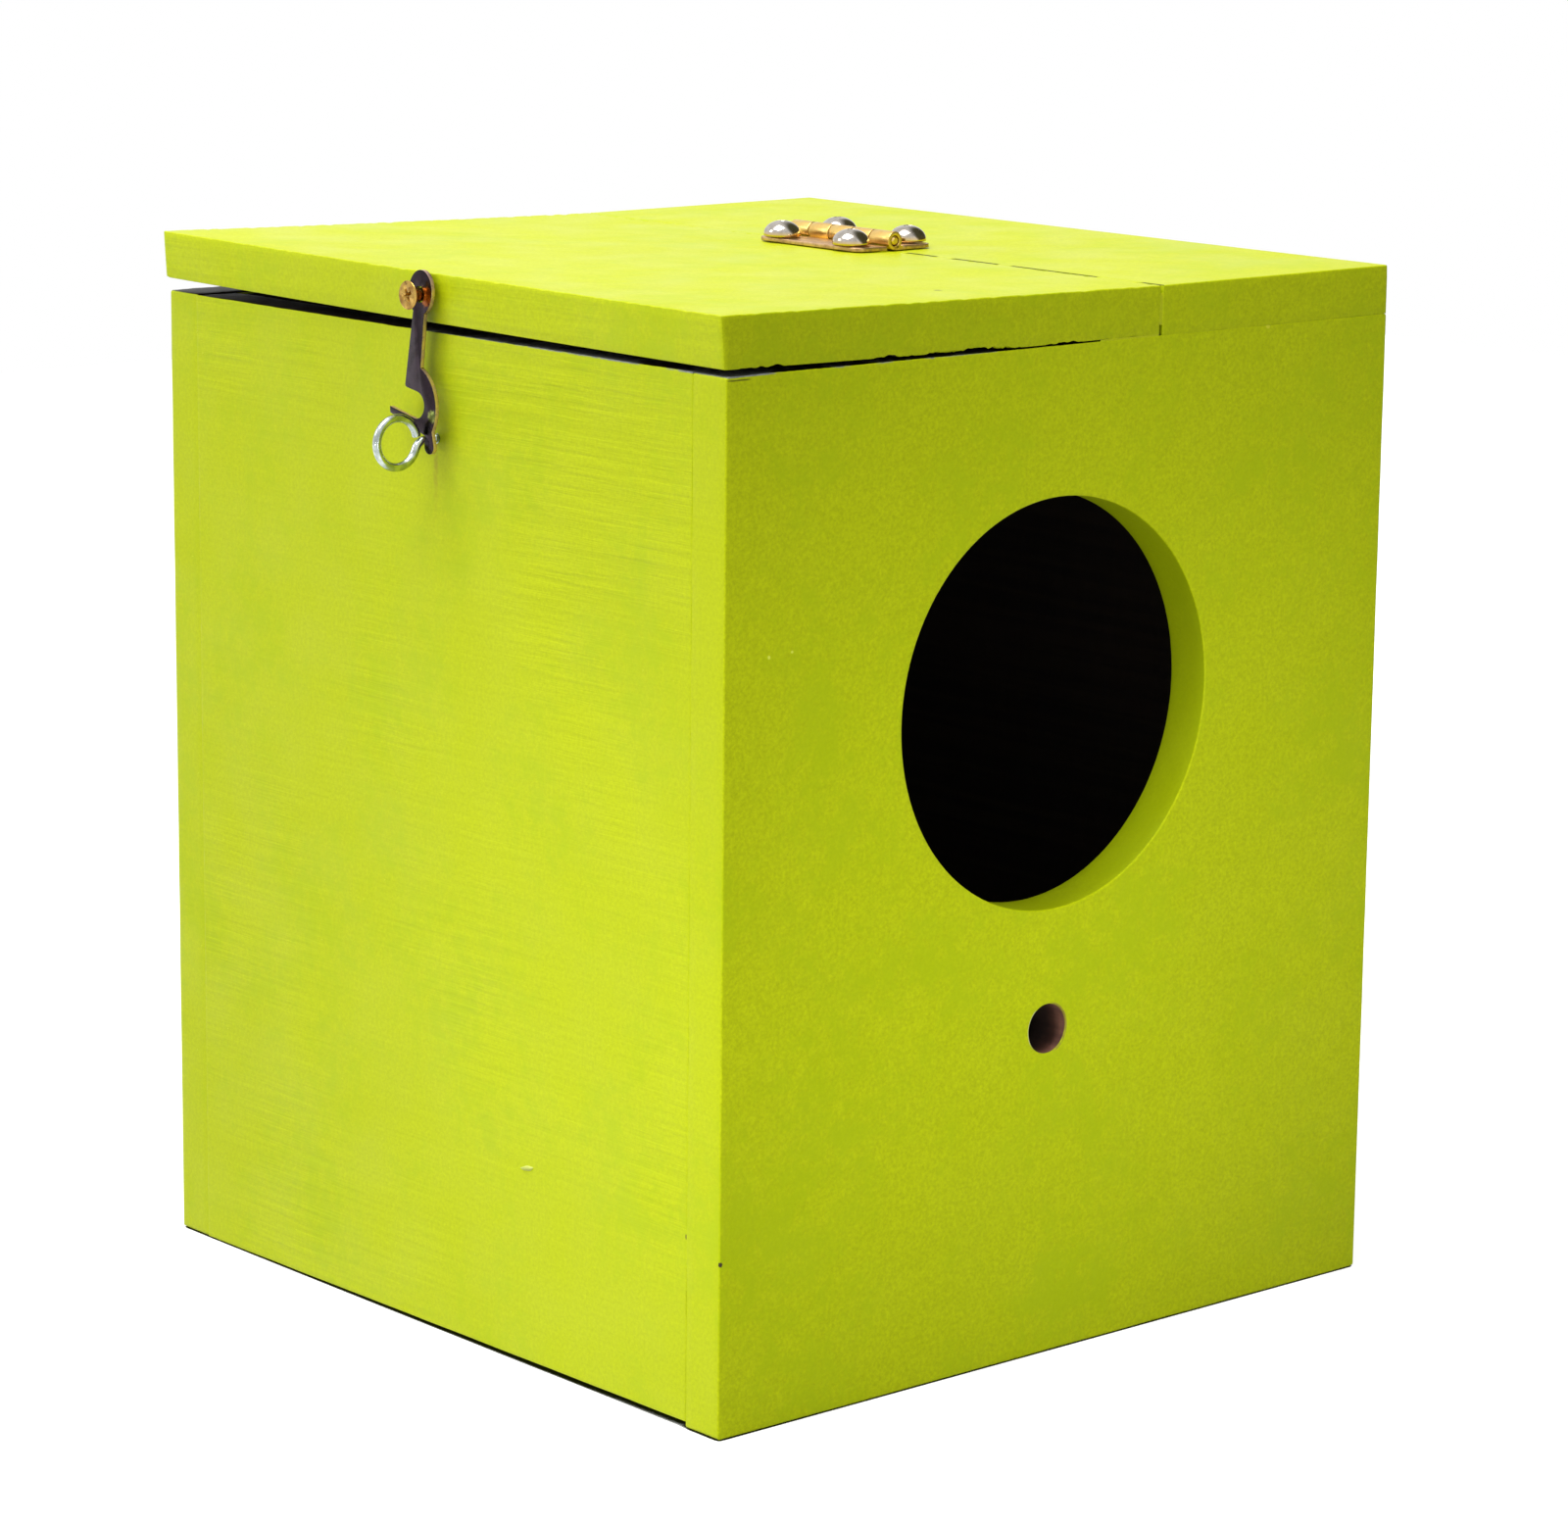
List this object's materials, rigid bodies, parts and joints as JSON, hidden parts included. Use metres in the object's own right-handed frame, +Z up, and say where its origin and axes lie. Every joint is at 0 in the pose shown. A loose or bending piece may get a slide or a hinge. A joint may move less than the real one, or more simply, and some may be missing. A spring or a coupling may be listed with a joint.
{
  "type": "bird breeding box",
  "caption": "Painted wooden nest box for cage birds, with a round entrance hole, a perch hole, a hinged lid and a swan-neck hook that catches a screw eye.",
  "frame": {"origin": "middle of the footprint, on the underside of the floor board", "axes": "+Z up, -Y out of the entrance hole, -X to the latch; the lid turns about a line parallel to Y"},
  "size_m": [0.2296, 0.214, 0.2597],
  "materials": {
    "lime_paint": "board under brushed satin lime paint",
    "brass": "bright rolled brass",
    "bright_plate": "polished plating",
    "dark_bronze": "steel with a dark glossy bronze finish",
    "zinc_wire": "zinc plated wire",
    "nail_steel": "bare steel"
  },
  "bodies": {
    "box": {"front_panel": "lime_paint", "back_panel": "lime_paint", "left_panel": "lime_paint", "right_panel": "lime_paint", "floor_panel": "lime_paint", "top_strip": "lime_paint", "hinge_leaf_fixed": "brass", "hinge_pin": "brass", "hinge_screw_strip_1": "bright_plate", "hinge_screw_strip_2": "bright_plate", "screw_eye": "zinc_wire", "nail_front_left_1": "nail_steel", "nail_front_left_2": "nail_steel", "nail_front_left_3": "nail_steel", "nail_front_right_1": "nail_steel", "nail_front_right_2": "nail_steel", "nail_front_right_3": "nail_steel", "nail_front_floor_1": "nail_steel", "nail_front_floor_2": "nail_steel", "nail_back_left_1": "nail_steel", "nail_back_left_2": "nail_steel", "nail_back_left_3": "nail_steel", "nail_back_right_1": "nail_steel", "nail_back_right_2": "nail_steel", "nail_back_right_3": "nail_steel", "nail_back_floor_1": "nail_steel", "nail_back_floor_2": "nail_steel", "nail_left_floor_1": "nail_steel", "nail_left_floor_2": "nail_steel", "nail_right_floor_1": "nail_steel", "nail_right_floor_2": "nail_steel", "nail_strip_front_1": "nail_steel", "nail_strip_front_2": "nail_steel", "nail_strip_back_1": "nail_steel", "nail_strip_back_2": "nail_steel", "nail_strip_right_1": "nail_steel", "nail_strip_right_2": "nail_steel"},
    "lid": {"lid": "lime_paint", "hinge_leaf_lid": "brass", "hinge_screw_lid_1": "bright_plate", "hinge_screw_lid_2": "bright_plate", "hook_pivot_screw": "brass"},
    "hook": {"latch_hook": "dark_bronze"}
  },
  "joints": [
    {"name": "lid_hinge", "type": "hinge", "parent": "box", "child": "lid", "pos_m": [0.0278, 0.005, 0.2566], "axis": [0, 1, 0], "range_deg": [0, 139]},
    {"name": "hook_swing", "type": "hinge", "parent": "lid", "child": "hook", "pos_m": [-0.1056, -0.0016, 0.2511], "axis": [-0.9999, 0, 0.015], "range_deg": [0, 349]}
  ]
}
